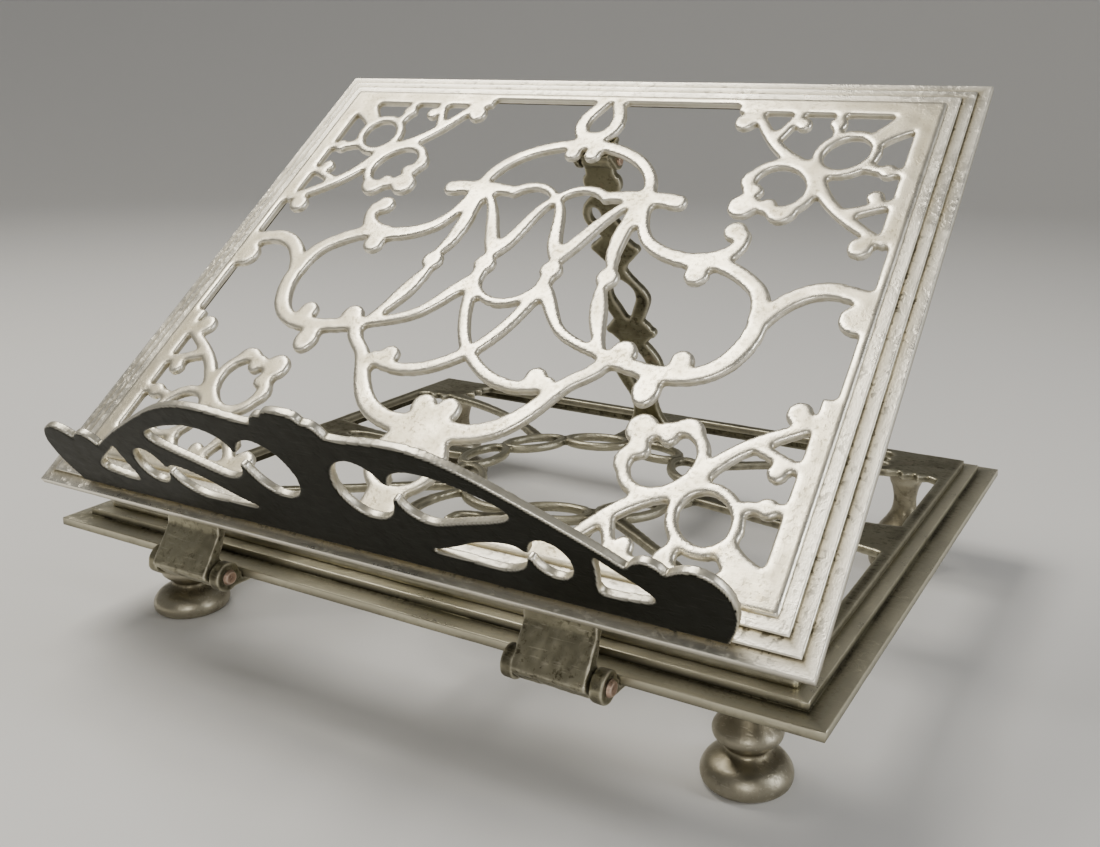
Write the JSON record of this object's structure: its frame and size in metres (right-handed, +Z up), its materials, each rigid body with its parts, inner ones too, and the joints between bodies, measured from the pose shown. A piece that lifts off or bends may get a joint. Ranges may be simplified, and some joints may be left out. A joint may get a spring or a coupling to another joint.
{
  "type": "book stand",
  "caption": "Folding cast-brass book stand: pierced desk with a shaped ledge, hinged to a pierced base on turned feet and held up by a pierced prop.",
  "frame": {"origin": "centre of the whole stand's outline on the table, level with the undersides of the feet", "axes": "+X to the reader's right along the width, +Y away from the reader, +Z up"},
  "size_m": [0.33, 0.3046, 0.2263],
  "materials": {
    "silvered_brass": "worn silvering, satin",
    "ledge_brass": "dark tarnished silvering with bright edges",
    "aged_brass": "olive-grey tarnish, satin",
    "foot_brass": "turned, dark tarnish, satin",
    "pin_brass": "rubbed, satin"
  },
  "bodies": {
    "base": {"base_frame": "aged_brass", "base_tracery": "aged_brass", "base_hinge_left": "aged_brass", "base_hinge_right": "aged_brass", "base_hinge_rivets": "aged_brass", "hinge_pin_left": "pin_brass", "hinge_pin_right": "pin_brass", "foot_front_left": "foot_brass", "foot_front_right": "foot_brass", "foot_back_left": "foot_brass", "foot_back_right": "foot_brass", "foot_studs": "pin_brass", "prop_stop": "aged_brass", "prop_stop_rivets": "aged_brass"},
    "desk": {"desk_frame": "silvered_brass", "desk_tracery": "silvered_brass", "desk_hinge_left": "aged_brass", "desk_hinge_right": "aged_brass", "desk_hinge_rivets": "aged_brass", "book_ledge": "ledge_brass", "ledge_pegs": "aged_brass", "prop_bracket": "aged_brass", "prop_bracket_rivets": "aged_brass", "prop_pin": "pin_brass"},
    "prop": {"prop": "aged_brass"}
  },
  "joints": [
    {"name": "desk_hinge", "type": "hinge", "parent": "base", "child": "desk", "pos_m": [0, -0.11667, 0.0435], "axis": [1, 0, 0], "range_deg": [0, 50.6]},
    {"name": "prop_hinge", "type": "hinge", "parent": "desk", "child": "prop", "pos_m": [0, 0.04967, 0.19153], "axis": [1, 0, 0], "range_deg": [-72.9, 0]}
  ],
  "couplings": [
    {"joint": "prop_hinge", "follows": "desk_hinge", "ratio": -1.44}
  ]
}
